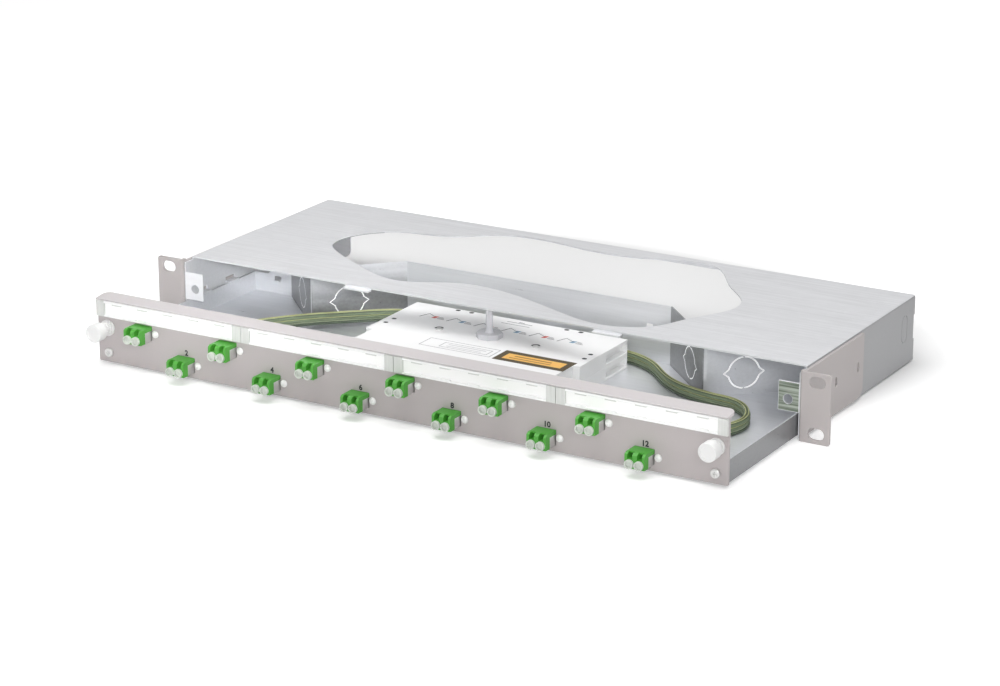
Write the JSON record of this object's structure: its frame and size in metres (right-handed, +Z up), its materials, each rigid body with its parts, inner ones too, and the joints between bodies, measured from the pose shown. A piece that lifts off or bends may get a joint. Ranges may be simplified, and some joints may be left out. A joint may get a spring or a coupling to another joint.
{
  "type": "fibre patch panel",
  "caption": "Rack fibre patch panel: galvanised housing with painted ears and a sliding splice drawer with green duplex adapters and dust caps.",
  "frame": {"origin": "centre of the rack hole pattern, in the front plane of the ears", "axes": "+X to the right along the front, +Y to the rear, +Z up"},
  "size_m": [0.4826, 0.2779, 0.0446],
  "materials": {
    "galvanised_sheet": "fine spangle, dull",
    "ear_paint": "satin powder coat, light warm grey",
    "panel_paint": "satin powder coat, light warm grey",
    "rail_paint": "satin, pale grey",
    "bright_steel": "zinc plated",
    "white_plastic": "moulded",
    "plug_plastic": "moulded, bright green",
    "latch_plastic": "moulded, ribbed, white",
    "cassette_plastic": "moulded, white",
    "lid_plastic": "moulded, white, printed fields",
    "clear_plastic": "clear, polished",
    "fibre_jacket": "soft dark green jackets",
    "holder_plastic": "moulded",
    "card": "paper card",
    "adapter_plastic": "moulded, bright green",
    "cap_plastic": "soft translucent"
  },
  "bodies": {
    "housing": {"ear_left": "ear_paint", "ear_right": "ear_paint", "housing_shell": "galvanised_sheet"},
    "drawer": {"adapter_01": "adapter_plastic", "adapter_02": "adapter_plastic", "adapter_03": "adapter_plastic", "adapter_04": "adapter_plastic", "adapter_05": "adapter_plastic", "adapter_06": "adapter_plastic", "adapter_07": "adapter_plastic", "adapter_08": "adapter_plastic", "adapter_09": "adapter_plastic", "adapter_10": "adapter_plastic", "adapter_11": "adapter_plastic", "adapter_12": "adapter_plastic", "adapter_clips": "bright_steel", "adapter_rivets": "white_plastic", "cassette_lid": "lid_plastic", "cassette_lower": "cassette_plastic", "cassette_upper": "cassette_plastic", "dust_caps_01": "cap_plastic", "dust_caps_02": "cap_plastic", "dust_caps_03": "cap_plastic", "dust_caps_04": "cap_plastic", "dust_caps_05": "cap_plastic", "dust_caps_06": "cap_plastic", "dust_caps_07": "cap_plastic", "dust_caps_08": "cap_plastic", "dust_caps_09": "cap_plastic", "dust_caps_10": "cap_plastic", "dust_caps_11": "cap_plastic", "dust_caps_12": "cap_plastic", "front_panel": "panel_paint", "hold_down_post": "clear_plastic", "label_card_1": "card", "label_card_2": "card", "label_card_3": "card", "label_card_4": "card", "label_holder_1": "holder_plastic", "label_holder_2": "holder_plastic", "label_holder_3": "holder_plastic", "label_holder_4": "holder_plastic", "label_rail": "rail_paint", "latch_grommet_left": "latch_plastic", "latch_grommet_right": "latch_plastic", "lid_screws": "bright_steel", "panel_screws": "bright_steel", "pigtail_bundle_left": "fibre_jacket", "pigtail_bundle_right": "fibre_jacket", "pigtail_plugs": "plug_plastic", "tray": "galvanised_sheet"},
    "left_plunger": {"latch_plunger_left": "latch_plastic"},
    "right_plunger": {"latch_plunger_right": "latch_plastic"}
  },
  "joints": [
    {"name": "drawer_slide", "type": "slide", "parent": "housing", "child": "drawer", "axis": [0, 1, 0], "range_m": [0, 0.0912]},
    {"name": "left_latch_push", "type": "slide", "parent": "drawer", "child": "left_plunger", "axis": [0, 1, 0], "range_m": [0, 0.003]},
    {"name": "right_latch_pull", "type": "slide", "parent": "drawer", "child": "right_plunger", "axis": [0, 1, 0], "range_m": [-0.003, 0]}
  ]
}
